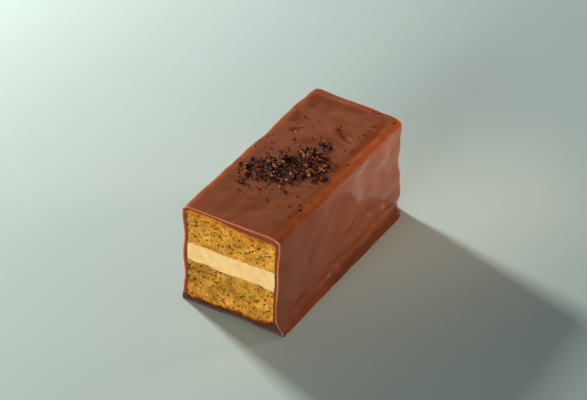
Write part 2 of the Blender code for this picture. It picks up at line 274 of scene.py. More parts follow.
# %% Relief of the top and the base
def top_shift(x, y):
    """Height of the top over its nominal plane, without the crumbs."""
    liveliness = 0.35 + 0.65 * smooth((y + 5 * MM) / (20 * MM))
    swell = 0.35 * MM * liveliness * wobble(x / (11 * MM), y / (15 * MM), 0, 5)
    swell += 0.05 * MM * wobble(x / (3.5 * MM), y / (4.5 * MM), 0, 6)
    shoulder = SHOULDER_DROP * max(0.0, (x - WIDTH / 2 + SHOULDER_WIDTH) / SHOULDER_WIDTH) ** 2
    roll = BACK_ROLL_DROP * max(0.0, (y - BACK_Y + BACK_ROLL_LENGTH) / BACK_ROLL_LENGTH) ** 2
    edge = LEFT_ROLL_DROP * max(0.0, (LEFT_ROLL_FROM - x) / LEFT_ROLL_WIDTH) ** 2
    past_x, past_y = max(x - GROOVE_X, 0.0), max(y - BACK_Y + GROOVE_BACK, 0.0)
    off_line = math.hypot(past_x, past_y) - GROOVE_RADIUS + 0.7 * MM * wobble(x / (16 * MM), y / (11 * MM), 0, 46)
    groove = GROOVE_DEPTH * math.exp(-((off_line / GROOVE_WIDTH) ** 2)) * smooth((x - 1 * MM) / (6 * MM))
    groove *= 0.75 + 0.5 * wobble(x / (9 * MM), y / (7 * MM), 0, 47)
    groove *= smooth((y - 2 * MM) / (14 * MM))
    off_ridge = (y - BACK_Y + RIDGE_BACK) / RIDGE_WIDTH
    ridge = RIDGE_HEIGHT * math.exp(-(off_ridge ** 2)) * smooth((9 * MM - x) / (8 * MM))
    hollow = 0.0
    for from_cut, centre_x, half_length, half_width, turn, depth in HOLLOWS:
        along, across = turned(x / MM - centre_x, (y - CUT_Y) / MM - from_cut, math.radians(turn))
        along, across = along / half_length, across / half_width
        hollow += depth * MM * max(0.0, 1 - along * along - across * across) ** 2
    return swell + ridge - shoulder - roll - edge - groove - hollow


def edge_highlight_share(co):
    """How much painted highlight a point of the plain block takes: most over the three upper edges."""
    near_top = smooth(1 - (HEIGHT - co.z) / (2.5 * MM))
    right = math.exp(-(((co.x - WIDTH / 2 + 1.9 * MM) / (1.5 * MM)) ** 2))
    left = smooth(1.1 - (co.x + WIDTH / 2) / (3.6 * MM))
    back = 0.5 * smooth(1 - (BACK_Y - co.y) / (4 * MM))
    uneven = 0.75 + 0.55 * wobble(co.x / (9 * MM), co.y / (5 * MM), 0, 44)
    return min(1.0, max(0.0, near_top * uneven * max(right, left, back)))


def base_lift(x, y):
    """The base is slightly hollow under the middle of the cut edge."""
    middle = math.exp(-(((x - 3 * MM) / (7 * MM)) ** 2)) * smooth((17 * MM - abs(x)) / (6 * MM))
    return 0.7 * MM * middle * smooth(1 - (y - CUT_Y) / (9 * MM))


# %% [markdown]
# A box whose grid lines can be put anywhere is the start of every piece. It begins as a cube primitive, its
# edges are subdivided along each axis in turn, and each grid line is then moved to its station. The stations
# crowd together where a surface turns or where fine relief is wanted, and spread out where nothing shows.


# %% A box with chosen grid lines
def stations(low, high, edge, step, edge_cells=5):
    """Grid lines from low to high: close ones within each rounded edge, and about a step apart between."""
    cells = max(1, round((high - low - 2 * edge) / step))
    first = [low + edge * i / edge_cells for i in range(edge_cells)]
    inner = [low + edge + (high - low - 2 * edge) * i / cells for i in range(cells + 1)]
    last = [high - edge * i / edge_cells for i in reversed(range(edge_cells))]
    return first + inner + last


def grid_box(across, along, upward):
    """A box whose grid lines lie at the given stations on X, Y and Z."""
    bm = bmesh.new()
    bmesh.ops.create_cube(bm, size=1.0)
    lines = (across, along, upward)
    for axis, places in enumerate(lines):
        edges = [e for e in bm.edges if abs((e.verts[0].co - e.verts[1].co)[axis]) > 0.5]
        bmesh.ops.subdivide_edges(bm, edges=edges, cuts=len(places) - 2, use_grid_fill=True)
    for vert in bm.verts:
        for axis, places in enumerate(lines):
            vert.co[axis] = places[round((vert.co[axis] + 0.5) * (len(places) - 1))]
    return bm


def rounded(point, low, high, base_radius):
    """Rounds every edge of the box from low to high, apart from those of its front face."""
    radius = base_radius if point.z < low.z + base_radius else EDGE_RADIUS
    x, z = (min(max(point[i], low[i] + radius), high[i] - radius) for i in (0, 2))
    inner = Vector((x, min(point.y, high.y - radius), z))
    away = point - inner
    reach = max(abs(away.x), abs(away.y), abs(away.z))
    return inner + away.normalized() * reach


def on_cut(vert):
    """Whether a vertex of a plain box lies on the cut face."""
    return vert.co.y < CUT_Y + 0.01 * MM


def finished(name, bm, material, smooth_angle=60):
    """Makes the bmesh an object of that name in the frame of the solids, with its material."""
    bmesh.ops.recalc_face_normals(bm, faces=bm.faces)
    mesh = mesh_from(name, bm)
    mesh.transform(Matrix.Translation((BLOCK_X, 0, 0)))
    mesh.shade_smooth()
    mesh.set_sharp_from_angle(angle=math.radians(smooth_angle))
    mesh.materials.append(material)
    mesh.calc_loop_triangles()
    print(name, len(mesh.vertices), "vertices,", len(mesh.loop_triangles), "triangles")
    return linked(name, mesh)


# %% [markdown]
# ## Materials
# A material is a small graph of nodes. One function adds a node, sets it up and links it, and another turns
# the sRGB hex values that colour pickers show into the linear numbers that shaders use. Every pattern reads
# Object coordinates, which are metres here, so a scale of 1000 means one cycle to the millimetre.


# %% Two helpers for materials
def linear(code):
    """The linear colour of an sRGB hex value such as "8A4A30"."""
    values = [int(code[i : i + 2], 16) / 255 for i in (0, 2, 4)]
    return (*(v / 12.92 if v <= 0.04045 else ((v + 0.055) / 1.055) ** 2.4 for v in values), 1.0)


def add(tree, kind, settings=None, **inputs):
    """Adds a node, sets its properties, and sets or links its inputs, which are named with _ for a space."""
    node = tree.nodes.new(kind)
    for key, value in (settings or {}).items():
        setattr(node, key, value)
    for key, value in inputs.items():
        socket = node.inputs[int(key[1:])] if key[1:].isdigit() else node.inputs[key.replace("_", " ")]
        if isinstance(value, bpy.types.NodeSocket):
            tree.links.new(value, socket)
        else:
            socket.default_value = value
    return node


def new_material(name):
    """A material with an empty graph, and the Object coordinates that its patterns read."""
    material = bpy.data.materials.new(name)
    material.use_nodes = True
    material.node_tree.nodes.clear()
    tree = material.node_tree
    place = add(tree, "ShaderNodeTexCoord").outputs["Object"]
    return material, tree, place


def ramp(tree, factor, *stops):
    """A colour ramp through (position, hex) stops."""
    node = add(tree, "ShaderNodeValToRGB", Fac=factor)
    elements = node.color_ramp.elements
    for (position, code), element in zip(stops, [elements[0], elements[1]]):
        element.position, element.color = position, linear(code)
    for position, code in stops[2:]:
        elements.new(position).color = linear(code)
    return node.outputs["Color"]


# %% [markdown]
# ### Set milk chocolate
# Poured milk chocolate sets with a glossy skin: sugar and fat give an index of refraction of about 1.5, and
# the skin mirrors the edge of the shadow on the floor almost sharply, so its roughness is near 0.16. It isn't
# one flat brown. Fat and sugar set in faint clouds, 5 to 10 mm wide, and a fine grain below 1 mm breaks the
# gloss. A lighter brown over the block's upper edges is a painted highlight, where they catch the light.
# Where the knife went through, the lip of the skin takes a lighter, warmer brown, a painted highlight of the
# light that glows through its thin edge, and the band inside it is duller than the skin. Along the base, where
# the coat pooled, painted shade darkens it, and a pale chip marks its lower right corner. The mesh marks
# these places with attributes, and each attribute blends its own colour over those before it.

# %% Material of the coating
chocolate, tree, place = new_material("set milk chocolate")
clouds, grain, pebble = (
    add(tree, "ShaderNodeTexNoise", Vector=place, Scale=scale, Detail=detail, Roughness=rough).outputs["Fac"]
    for scale, detail, rough in ((150.0, 3.0, 0.55), (1500.0, 2.0, 0.5), (700.0, 4.0, 0.6))
)
skin = ramp(tree, clouds, (0.30, "733C22"), (0.70, "804728"))
speckled = add(
    tree, "ShaderNodeMix", {"data_type": "RGBA"}, _0=add(
        tree, "ShaderNodeMapRange", Value=grain, From_Min=0.62, From_Max=0.75, To_Max=0.25
    ).outputs[0], _6=skin, _7=linear("99582C"),
).outputs[2]
tint, marks = speckled, {}
# Tints: the upper edges' and the lip's are painted highlights, the base's dark one is painted shade
TINTS = (("edge_highlight", "A45A2E"), ("cut", "6C280C"), ("lip", "DE7838"), ("pool", "33150A"), ("chip", "F2CBA0"))
for mark, code in TINTS:
    marks[mark] = add(tree, "ShaderNodeAttribute", {"attribute_name": mark}).outputs["Fac"]
    tint = add(
        tree, "ShaderNodeMix", {"data_type": "RGBA"}, _0=marks[mark], _6=tint, _7=linear(code)
    ).outputs[2]
gloss = add(tree, "ShaderNodeMapRange", Value=clouds, From_Min=0.3, From_Max=0.7, To_Min=0.13, To_Max=0.20)
dull = add(tree, "ShaderNodeMath", {"operation": "MULTIPLY_ADD"}, _0=marks["cut"], _1=0.4, _2=gloss.outputs[0])
bump = add(tree, "ShaderNodeBump", Height=pebble, Strength=0.08, Distance=0.04 * MM)
shader = add(
    tree, "ShaderNodeBsdfPrincipled", Base_Color=tint, Roughness=dull.outputs[0], IOR=1.5,
    Normal=bump.outputs[0], Subsurface_Weight=0.08, Subsurface_Scale=1.0 * MM,
    Subsurface_Radius=(1.0, 0.45, 0.25),
)
add(tree, "ShaderNodeOutputMaterial", Surface=shader.outputs[0])
print("material", chocolate.name, len(tree.nodes), "nodes")

# %% [markdown]
# ### Cut sponge
# Baked sponge is a dry foam of egg, sugar and flour. Cut open, it is matt all over, so its roughness is high,
# and light soaks a little way into the thin walls of its bubbles, which is subsurface scattering. Its colour
# runs from straw to gold over a few millimetres, with small orange spots where sugar browned. The mesh marks
# where the crumb is duller, from the lower layer's own tone, random tone and painted shade towards the left;
# how deep each point lies in a pore, which painted shade darkens; and how near it is to the baked skin, which
# is a ginger brown.

# %% Material of the sponge
sponge, tree, place = new_material("cut golden sponge")
drift, crumb_grain, spots = (
    add(tree, "ShaderNodeTexNoise", Vector=place, Scale=scale, Detail=detail, Roughness=rough).outputs["Fac"]
    for scale, detail, rough in ((220.0, 4.0, 0.6), (1500.0, 4.0, 0.65), (330.0, 2.0, 0.5))
)
gold = ramp(tree, drift, (0.30, "B4862C"), (0.50, "D8A838"), (0.70, "F2CA60"))
grained = add(
    tree, "ShaderNodeMix", {"data_type": "RGBA", "blend_type": "OVERLAY"}, _0=0.65, _6=gold,
    _7=ramp(tree, crumb_grain, (0.32, "484848"), (0.68, "C0C0C0")),
).outputs[2]
spotted = add(
    tree, "ShaderNodeMix", {"data_type": "RGBA"}, _0=add(
        tree, "ShaderNodeMapRange", Value=spots, From_Min=0.58, From_Max=0.70, To_Max=0.45
    ).outputs[0], _6=grained, _7=linear("D9802F"),
).outputs[2]
tint = spotted
# Marks: a duller tone that is partly painted shade, painted shade in the pores, the baked skin's brown
for mark, blend, code in (("dull", "MULTIPLY", "B9B6AC"), ("pore_shade", "MIX", "4E2D08"), ("crust", "MIX", None)):
    share = add(tree, "ShaderNodeAttribute", {"attribute_name": mark}).outputs["Fac"]
    colour = linear(code) if code else ramp(tree, share, (0.35, "D26C0A"), (0.95, "5E2E0C"))
    tint = add(
        tree, "ShaderNodeMix", {"data_type": "RGBA", "blend_type": blend}, _0=share, _6=tint, _7=colour
    ).outputs[2]
bump = add(tree, "ShaderNodeBump", Height=crumb_grain, Strength=0.6, Distance=0.15 * MM)
shader = add(
    tree, "ShaderNodeBsdfPrincipled", Base_Color=tint, Roughness=0.85, IOR=1.40, Specular_IOR_Level=0.25,
    Normal=bump.outputs[0], Subsurface_Weight=0.15, Subsurface_Scale=1.0 * MM,
    Subsurface_Radius=(1.0, 0.5, 0.2),
)
add(tree, "ShaderNodeOutputMaterial", Surface=shader.outputs[0])
print("material", sponge.name, len(tree.nodes), "nodes")

# %% [markdown]
# ### Coffee cream
# Coffee buttercream is fat whipped with sugar and a little coffee, so it is a pale tan with a satin surface.
# The knife leaves it nearly smooth, with faint upright drag lines less than a millimetre apart.

# %% Material of the cream
cream_finish, tree, place = new_material("cut coffee buttercream")
drag_place = add(tree, "ShaderNodeMapping", Vector=place, Scale=(1.0, 1.0, 0.25)).outputs[0]
drag = add(tree, "ShaderNodeTexNoise", Vector=drag_place, Scale=1200.0, Detail=3.0).outputs["Fac"]
cloud = add(tree, "ShaderNodeTexNoise", Vector=place, Scale=320.0, Detail=4.0).outputs["Fac"]
tan = ramp(tree, cloud, (0.30, "DEB774"), (0.70, "E9C98A"))
bump = add(tree, "ShaderNodeBump", Height=drag, Strength=0.35, Distance=0.08 * MM)
shader = add(
    tree, "ShaderNodeBsdfPrincipled", Base_Color=tan, Roughness=0.5, IOR=1.45, Normal=bump.outputs[0],
    Subsurface_Weight=0.3, Subsurface_Scale=1.5 * MM, Subsurface_Radius=(1.0, 0.7, 0.4),
)
add(tree, "ShaderNodeOutputMaterial", Surface=shader.outputs[0])
print("material", cream_finish.name, len(tree.nodes), "nodes")

# %% [markdown]
# ### Ground cocoa nibs
# Roasted nibs are nearly black where the roast caught them and rust brown where they broke. They are brittle
# and a little oily, so their broken faces glint: a middling roughness on flat facets. Each crumb carries its
# own random shade as an attribute, and a ramp turns it into the mix of colours that the photograph shows.

# %% Material of the crumbs
cocoa, tree, place = new_material("roasted cocoa crumb")
shade = add(tree, "ShaderNodeAttribute", {"attribute_name": "shade"}).outputs["Fac"]
nib = ramp(
    tree, shade, (0.0, "1A0B0D"), (1.0, "B87438"), (0.50, "321611"), (0.72, "542812"), (0.89, "7E4419"),
    (0.97, "9C5C26"),
)
facet = add(tree, "ShaderNodeTexNoise", Vector=place, Scale=2500.0, Detail=3.0).outputs["Fac"]
bump = add(tree, "ShaderNodeBump", Height=facet, Strength=0.5, Distance=0.06 * MM)
shader = add(
    tree, "ShaderNodeBsdfPrincipled", Base_Color=nib, Roughness=0.6, IOR=1.42, Specular_IOR_Level=0.2,
    Normal=bump.outputs[0],
)
add(tree, "ShaderNodeOutputMaterial", Surface=shader.outputs[0])
print("material", cocoa.name, len(tree.nodes), "nodes")


# %% [markdown]
# ## The room for the cake
# The cake inside the coat is a smaller rounded box. Its floor rises on the right, where the chocolate pooled,
# and its ceiling falls to the right, where the coat is thicker. The two surfaces of the cream band wave.


# %% The core's surfaces
def floor_shift(x, y):
    """How far the cake's base lies over its plain box: most on the right, over the pooled chocolate."""
    pool = 2.4 * MM * smooth((x - 11 * MM) / (8 * MM))
    return pool + 0.8 * base_lift(x, y) + 0.3 * MM * wobble(x / (7 * MM), y / (80 * MM), 0, 3)


def ceiling_shift(x, y):
    """How far the cake's top lies over its plain box: above it on the left, and below it on the right."""
    thin_to_thick = 0.4 * MM - 1.4 * MM * smooth((x + 8 * MM) / (12 * MM))
    return thin_to_thick - 1.3 * MM * max(0.0, (y - BACK_Y + 8 * MM) / (8 * MM)) ** 2


def cream_low_shift(x, y):
    """The waves of the cream band's lower side."""
    return 0.5 * MM * wobble(x / (5.5 * MM), y / (80 * MM), 0, 12)


def cream_high_shift(x, y):
    """The waves of its upper side, which also rises a little to the right."""
    return 0.5 * MM * wobble(x / (5.5 * MM), y / (80 * MM), 0, 13) + 0.5 * MM * x / WIDTH


def core_x(p):
    """The cake's long walls follow the slow waves of the chocolate."""
    side = 1 if p.x > 0 else -1
    near_wall = max(0.0, (abs(p.x) - WIDTH / 2 + 8 * MM) / (8 * MM)) ** 2
    lean = RIGHT_LEAN * (1 - p.z / HEIGHT) if side > 0 else 0.0
    return p.x + side * near_wall * (0.6 * slump(side, p.y, p.z) - lean - back_corner(p.y))


def core_point(point, low, high, low_shift, high_shift, inset):
    """Where a point of a plain slab from low to high lies on the cake's waved surface."""
    box_low = Vector((CORE_LOW.x + inset, CUT_Y, CORE_LOW.z + inset))
    box_high = Vector((CORE_HIGH.x - inset, CORE_HIGH.y - inset, CORE_HIGH.z - inset))
    share = (point.z - low) / (high - low)
    p = rounded(point, box_low, box_high, EDGE_RADIUS)
    shift = (1 - share) * low_shift(p.x, p.y) + share * high_shift(p.x, p.y)
    return Vector((core_x(p), p.y, p.z + shift))


# %% [markdown]
# ## The chocolate coating
# The coat is one closed shell. Its outside is a fine box, with a grid line every 0.6 mm, moved onto the rules
# above. The front face is then taken out, and rings of faces are extruded from the open edge: first over a
# rounded lip, then across the cut band to the cake, then back along the room inside, to an end wall. Each
# vertex keeps the number of its ring, so one function can place them all.

# %% Outside of the coat
LIP = 0.2 * MM


def coating_point(point):
    """Where a point of the plain box lies on the chocolate's outer surface."""
    low = Vector((-WIDTH / 2, CUT_Y, 0))
    high = Vector((WIDTH / 2, BACK_Y, HEIGHT))
    p = rounded(point, low, high, FOOT_EDGE)
    side = 1 if p.x > 0 else -1
    near_wall = max(0.0, (abs(p.x) - WIDTH / 2 + 5 * MM) / (5 * MM)) ** 2
    near_back = max(0.0, (p.y - BACK_Y + 5 * MM) / (5 * MM)) ** 2
    near_top = max(0.0, (p.z - HEIGHT + 8 * MM) / (8 * MM)) ** 2
    reach = (RIGHT_FOOT if side > 0 else LEFT_FOOT) * smooth((BACK_Y - p.y + 2 * MM) / (9 * MM))
    lean = RIGHT_LEAN * (1 - p.z / HEIGHT) if side > 0 else 0.0
    wave = wall_wave(side, p.y, p.z) * (0.3 + 0.7 * smooth(p.z / (6 * MM)))
    uneven_foot = 1.0 + 0.05 * wobble(p.y / (12 * MM), 0, 0, 7) + 0.25 * (p.y - CUT_Y) / LENGTH
    lip = LIP * max(0.0, 1 - (p.y - CUT_Y) / (1.0 * MM)) ** 2
    outward = wave - lean + reach * uneven_foot * foot(p.z, p.y) + lip - back_corner(p.y)
    back_wave = 0.6 * MM * wobble(p.x / (9 * MM), 0, p.z / (7 * MM), 9)
    back_slant = 0.9 * MM * smooth((-4 * MM - p.x) / (8 * MM)) * smooth(p.z / (8 * MM)) - 0.025 * p.x
    lift = base_lift(p.x, p.y) * max(0.0, 1 - p.z / (4 * MM))
    backward = back_wave * smooth(p.z / (6 * MM)) + BACK_FOOT * foot(p.z, p.y) + back_slant
    upward = near_top * (top_shift(p.x, p.y) + lip)
    return Vector((p.x + side * near_wall * outward, p.y + near_back * backward, p.z + upward + lift))


# %% Rings over the lip, across the cut band and along the room inside
# Each ring over the cut is its share of the band's width and how far it stands back from the cut, in millimetres
CUT_RINGS = (
    (0.06, -0.12), (0.18, -0.16), (0.30, -0.10), (0.40, 0.02), (0.52, 0.07), (0.70, 0.05), (0.86, 0.06), (1.0, 0.10),
)
# Each ring inside is its distance from the cut, in millimetres
ROOM_RINGS = (0.8, 3.0, 20.0, 45.0, 70.0, 84.0, 86.4, 88.0)


def inner_contour(point, y):
    """The place on the room's wall, at y, that faces a place on the edge of the front face."""
    size = CORE_HIGH - CORE_LOW
    x, z = CORE_LOW.x + (point.x / WIDTH + 0.5) * size.x, CORE_LOW.z + point.z / HEIGHT * size.z
    facing = Vector((x, min(y, CORE_HIGH.y), z))
    return core_point(facing, CORE_LOW.z, CORE_HIGH.z, floor_shift, ceiling_shift, 0.0)


def ring_point(point, ring):
    """Where a vertex of the given ring lies."""
    if ring == 0:
        return coating_point(point)
    if ring <= len(CUT_RINGS):
        share, back = CUT_RINGS[ring - 1]
        outer, inner = coating_point(point), inner_contour(point, CUT_Y)
        width = (inner - outer).length
        share = min(share, share * 1.3 * MM / width) if share < 0.5 else share
        spot = outer.lerp(inner, share)
        ragged = 0.05 * MM * wobble(spot.x / (1.2 * MM), share * 5, spot.z / (1.2 * MM), 50)
        spot.y = CUT_Y + back * MM + ragged
        return spot
    return inner_contour(point, CUT_Y + ROOM_RINGS[ring - len(CUT_RINGS) - 1] * MM)


front_lines = [CUT_Y + d * MM for d in (0, 0.2, 0.4, 0.7, 1.0, 1.4)]
rest_lines = stations(CUT_Y + 1.4 * MM, BACK_Y, EDGE_RADIUS, 0.6 * MM)[6:]
bm = grid_box(
    stations(-WIDTH / 2, WIDTH / 2, EDGE_RADIUS, 0.6 * MM),
    front_lines + rest_lines,
    [0.0, FOOT_EDGE / 2, *stations(FOOT_EDGE, HEIGHT, EDGE_RADIUS, 0.6 * MM)],
)
front = [f for f in bm.faces if all(on_cut(v) for v in f.verts)]
bmesh.ops.delete(bm, geom=front, context="FACES")
ring_of = bm.verts.layers.int.new("ring")
loop = [e for e in bm.edges if e.is_boundary]
for number in range(1, len(CUT_RINGS) + len(ROOM_RINGS) + 1):
    made = bmesh.ops.extrude_edge_only(bm, edges=loop)["geom"]
    loop = [g for g in made if isinstance(g, bmesh.types.BMEdge) and g.is_boundary]
    for vert in (g for g in made if isinstance(g, bmesh.types.BMVert)):
        vert[ring_of] = number
bmesh.ops.contextual_create(bm, geom=loop)
print("rings", number, "with", len(loop), "vertices each")

# %% Place the coat's vertices; mark the cut band, the chip, painted highlights on lip and edges, painted shade
lip_highlight_of, cut_of, base_shade_of, edge_highlight_of, chip_of = (
    bm.verts.layers.float.new(mark) for mark in ("lip", "cut", "pool", "edge_highlight", "chip")
)
# How much of the lip's painted highlight the edge of the skin and each ring inside it take
LIP_HIGHLIGHT_MARKS = (0.45, 1.0, 1.0, 0.85, 0.3)
for vert in bm.verts:
    ring = vert[ring_of]
    if ring > len(CUT_RINGS):
        vert[cut_of] = 1.0
    elif ring >= 1:
        vert[cut_of] = min(1.0, ring / 4)
    vert[edge_highlight_of] = edge_highlight_share(vert.co)
    if ring in (1, 2, 3) and vert.co.x > 0.43 * WIDTH:
        vert[chip_of] = smooth((7.5 * MM - vert.co.z) / (2.5 * MM)) * smooth(vert.co.z / (1.2 * MM))
    if ring < len(LIP_HIGHLIGHT_MARKS) and (ring or on_cut(vert)):
        vert[lip_highlight_of] = LIP_HIGHLIGHT_MARKS[ring] * smooth(vert.co.z / (3 * MM))
    # Painted shade: darker along the base of the cut, and on the right foot behind the cut
    if ring:
        vert[base_shade_of] = 0.85 * smooth(1.3 - vert.co.z / (3 * MM))
    elif vert.co.x > 0.4 * WIDTH:
        shaded_foot = smooth((vert.co.y - CUT_Y - 34 * MM) / (6 * MM))
        vert[base_shade_of] = 0.45 * shaded_foot * smooth(1.3 - vert.co.z / (2.8 * MM))
    vert.co = ring_point(vert.co, ring)
coating = finished("milk_chocolate_coat", bm, chocolate)

# %% [markdown]
# ## The sponge layers
# A cut sponge shows its bubbles as pits. Colour alone can't do that, because the pits' far walls must catch
# the light and their near walls must not. So the cut face is a fine grid, with a line every 0.14 mm, and each
# pore presses an oval pit into it. Most pores are 0.3 to 0.8 mm across and a few are over a millimetre; they
# lean up to the right, the way the batter was spread.


# %% Pores as a height field
def pore_field(x, z, low, high, count, seed):
    """How deep each point of the cut face lies in a pore, from 0 to 1, for arrays of x and z in millimetres."""
    draw = np.random.default_rng(seed)
    depth = np.zeros_like(x)
    for number in range(count):
        size = 0.09 + 0.30 * (1 - number / count) ** 4 + 0.10 * draw.random()
        cx, cz = draw.uniform(-19, 19), draw.uniform(low, high)
        tilt = math.radians(draw.normal(18, 22))
        stretch = draw.uniform(1.1, 2.2)
        dx, dz = x - cx, z - cz
        near = (np.abs(dx) < 2.2 * size * 1.5) & (np.abs(dz) < 2.2 * size * 1.5)
        if not near.any():
            continue
        dx, dz = dx[near], dz[near]
        along, across = turned(dx, dz, tilt)
        oval = np.hypot(along / (size * stretch), across / size)
        pit = np.clip(1.25 - oval, 0, 1) ** 0.7 * min(1.0, 0.55 + 1.2 * size)
        depth[near] = np.maximum(depth[near], pit)
    return depth


def sponge_layer(name, low, high, low_shift, high_shift, ragged, pores, seed):
    """A slab of sponge with a fine cut face; ragged says how far its low and high edges fray, in metres."""
    inset = -0.2 * MM
    across = stations(CORE_LOW.x + inset, CORE_HIGH.x - inset, EDGE_RADIUS, 0.14 * MM, 9)
    along = [CUT_Y + d * MM for d in (0, 1.8, 6, 25, 50, 75, 86)] + [CORE_HIGH.y - inset]
    rows = round((high - low) / (0.14 * MM))
    upward = [low + (high - low) * i / rows for i in range(rows + 1)]
    bm = grid_box(across, along, upward)
    pore_shade_of, crust_of, dull_and_shade_of = (bm.verts.layers.float.new(mark) for mark in ("pore_shade", "crust", "dull"))
    verts = list(bm.verts)
    at_front = np.array([on_cut(v) for v in verts])
    share = np.array([(v.co.z - low) / (high - low) for v in verts])
    for vert in verts:
        vert.co = core_point(vert.co, low, high, low_shift, high_shift, inset)
    x = np.array([v.co.x for v in verts]) / MM
    z = np.array([v.co.z for v in verts]) / MM
    depth = np.zeros(len(verts))
    depth[at_front] = pore_field(x[at_front], z[at_front], low / MM - 1, high / MM + 1, pores, seed)
    for vert, front, s, d in zip(verts, at_front, share, depth):
        edge_low, edge_high = s * (high - low), (1 - s) * (high - low)
        if front:
            px, pz = vert.co.x / MM, vert.co.z / MM
            fray = wobble(px / 1.3, 0, pz / 1.3, seed + 2) + 0.6 * wobble(px / 0.5, 0, pz / 0.5, seed + 3)
            crumbly = 0.10 * wobble(px / 0.7, 0, pz / 0.7, seed + 4)
            crumbly += 0.22 * wobble(px / 2.6, 0, pz / 2.0, seed + 5)
            vert.co.z += ragged[0] * fray * smooth(1 - edge_low / (1.2 * MM))
            vert.co.z += ragged[1] * fray * smooth(1 - edge_high / (1.2 * MM))
            vert.co.y += (0.20 + 0.55 * d + crumbly) * MM
            # Painted shade: the deeper a point lies in a pore, the darker its colour
            vert[pore_shade_of] = min(1.0, 1.1 * d)
        vert[crust_of] = crust_share(name, vert.co, edge_low, edge_high)
        # Painted shade darkens the crumb towards the left; the lower layer's duller tone and the random tone are its
        # own
        shade = 0.25 * smooth((8 * MM - vert.co.x) / (20 * MM))
        tone = wobble(vert.co.x / (8 * MM), vert.co.y / (20 * MM), vert.co.z / (5 * MM), 61)
        vert[dull_and_shade_of] = min(1.0, max(0.0, (0.28 if name == "lower_sponge_layer" else 0.0) + shade + 0.35 * tone))
    return finished(name, bm, sponge)


def crust_share(name, co, edge_low, edge_high):
    """How brown the sponge is here: a thin skin under the top coat, a thicker one at the base."""
    uneven = 1 + 0.5 * wobble(co.x / (2.5 * MM), 0, co.z / (2.5 * MM), 71)
    if name == "upper_sponge_layer":
        share = 0.6 + 0.2 * smooth(co.x / (14 * MM))
        return share * smooth(1.15 - edge_high / (3.6 * MM * uneven))
    return smooth(1.25 - edge_low / (2.6 * MM * uneven))


FRAY = 0.25 * MM
upper_sponge = sponge_layer(
    "upper_sponge_layer", CREAM_HIGH, CORE_HIGH.z + 0.2 * MM, cream_high_shift, ceiling_shift,
    (FRAY, 0.0), pores=520, seed=40,
)
lower_sponge = sponge_layer(
    "lower_sponge_layer", CORE_LOW.z - 0.2 * MM, CREAM_LOW, floor_shift, cream_low_shift,
    (0.0, FRAY), pores=560, seed=60,
)

# %% [markdown]
# ## The cream band
# The cream is soft, so the knife wipes it flat, a little proud of the sponge. Its edges run under the ragged
# sponge by half a millimetre, as cream does when it soaks into a crumb, and so no gap shows between them.

# %% Cream layer
inset = -0.2 * MM
low, high = CREAM_LOW - 0.5 * MM, CREAM_HIGH + 0.5 * MM
bm = grid_box(
    stations(CORE_LOW.x + inset, CORE_HIGH.x - inset, EDGE_RADIUS, 0.3 * MM),
    [CUT_Y + d * MM for d in (0, 2, 25, 50, 75, 86)] + [CORE_HIGH.y - inset],
    [low + (high - low) * i / 26 for i in range(27)],
)
for vert in bm.verts:
    at_front = on_cut(vert)
    edge = min(vert.co.z - low, high - vert.co.z)
    vert.co = core_point(vert.co, low, high, cream_low_shift, cream_high_shift, inset)
    if at_front:
        px, pz = vert.co.x / MM, vert.co.z / MM
        wipe = 0.05 * wobble(px / 0.6, 0, pz / 3.0, 81) + 0.10 * wobble(px / 4, 0, pz / 2.5, 82)
        vert.co.y += (0.12 + wipe + 0.5 * smooth(1 - edge / (0.9 * MM))) * MM
cream = finished("coffee_cream_band", bm, cream_finish)

# %% [markdown]
# ## The crumbs
# Hundreds of crumbs lie on the top. Geometry Nodes scatter them: points are dealt out over an unseen sheet
# that follows the top, as thickly as the sheet's cover attribute says, and a random nib from a small set is
# put on each, turned and scaled at random. Where the drift is deep there are more sheets above the first, so
# the crumbs pile up. Realize Instances then makes them plain faces, because instances aren't exported.


# %% Nib shapes
def nib_shape(number, corners, stretch, flatness):
    """A shard: the hull of a few random points in a flattened ball."""
    bm = bmesh.new()
    for _ in range(corners):
        way = Vector([rng.gauss(0, 1) for _ in range(3)]).normalized() * rng.uniform(0.75, 1.0)
        bm.verts.new((way.x * stretch, way.y * 0.8, way.z * flatness))
    hull = bmesh.ops.convex_hull(bm, input=bm.verts)
    loose = [v for v in hull["geom_interior"] + hull["geom_unused"] if isinstance(v, bmesh.types.BMVert)]
    bmesh.ops.delete(bm, geom=list(dict.fromkeys(loose)), context="VERTS")
    bmesh.ops.recalc_face_normals(bm, faces=bm.faces)
    return bpy.data.objects.new(f"nib_{number}", mesh_from(f"nib_{number}", bm))


nibs = bpy.data.collections.new("nib shapes")
for number in range(9):
    nibs.objects.link(nib_shape(number, 13, rng.uniform(0.9, 1.35), rng.uniform(0.55, 0.85)))


# %% The unseen sheets that crumbs are dealt over
def drift_cover(x, y):
    """How thickly crumbs lie: 1 over a drift, falling off quickly and unevenly at its edge."""
    cover = 0.0
    for centre_x, centre_y, half_length, half_width, turn in DRIFTS:
        along, across = turned(x - centre_x * MM, y - centre_y * MM, math.radians(turn))
        reach = math.hypot(along / (half_length * MM), across / (half_width * MM))
        cover = max(cover, smooth((1.22 - reach) / 0.5))
    uneven = wobble(x / (3.0 * MM), y / (3.0 * MM), 0, 90)
    return cover * smooth(0.55 + 1.0 * uneven + 0.4 * cover)


def stray(x, y):
    """How likely a single crumb is away from the drifts."""
    return math.exp(-(((y + 5 * MM) / (24 * MM)) ** 2)) * smooth((17 * MM - abs(x)) / (3 * MM))


